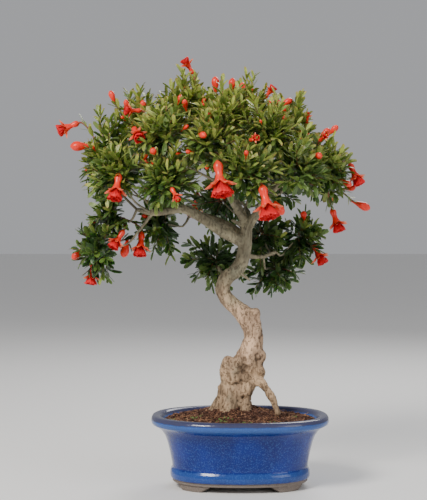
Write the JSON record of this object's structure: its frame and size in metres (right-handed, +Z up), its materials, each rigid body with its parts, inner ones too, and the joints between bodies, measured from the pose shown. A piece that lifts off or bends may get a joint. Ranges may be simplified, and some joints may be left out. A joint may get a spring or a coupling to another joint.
{
  "type": "pomegranate bonsai",
  "caption": "Dwarf pomegranate bonsai in full flower, with a curved bare trunk, a domed leafy crown and coral-red blooms, in an oval glazed pot on cloud feet.",
  "frame": {"origin": "on the ground, under the middle of the whole tree's bounding box; the pot's middle lies 30 mm along +X from it", "axes": "+Z up, -Y towards the picture's camera, +X to the right in the picture, along the pot's length"},
  "size_m": [0.3519, 0.2937, 0.4838],
  "materials": {
    "glaze": "gloss",
    "screen": "matte",
    "soil": "matte",
    "bark": "matte",
    "leaf": "satin",
    "flower": "satin"
  },
  "bodies": {
    "root": {"pot": "glaze", "drain_screen_left": "screen", "drain_screen_right": "screen", "soil": "soil", "trunk": "bark", "spray_top_left": "leaf", "spray_top_right": "leaf", "spray_top_back": "leaf", "spray_top_front": "leaf", "spray_shoulder_left": "leaf", "spray_shoulder_front_left": "leaf", "spray_shoulder_front": "leaf", "spray_shoulder_front_right": "leaf", "spray_shoulder_right": "leaf", "spray_shoulder_back_right": "leaf", "spray_shoulder_back": "leaf", "spray_shoulder_back_left": "leaf", "spray_side_left": "leaf", "spray_side_front_left": "leaf", "spray_front_left": "leaf", "spray_front": "leaf", "spray_side_front_right": "leaf", "spray_side_right": "leaf", "spray_side_back_right": "leaf", "spray_back_right": "leaf", "spray_back": "leaf", "spray_back_left": "leaf", "spray_side_back_left": "leaf", "spray_under_left": "leaf", "spray_hanging_left": "leaf", "spray_lowest_left": "leaf", "spray_low_right_near": "leaf", "spray_low_right_far": "leaf", "spray_low_right_bottom": "leaf", "spray_low_left": "leaf", "flower_top": "flower", "flower_top_right": "flower", "flower_upper_left": "flower", "flower_upper_right": "flower", "flower_far_left": "flower", "flower_left": "flower", "flower_left_shoulder": "flower", "flower_centre": "flower", "flower_right_centre": "flower", "flower_low_left_near": "flower", "flower_low_left_far": "flower", "flower_lowest": "flower", "flower_low_right": "flower", "flower_back_pad": "flower", "flower_right": "flower", "flower_right_top": "flower", "flower_right_edge": "flower", "flower_front_right": "flower", "flower_opening": "flower", "flower_back_high": "flower", "flower_back_low": "flower", "flower_back_right": "flower", "flower_back_left": "flower", "bud_outermost_left": "flower", "bud_outermost_right": "flower"}
  },
  "joints": []
}
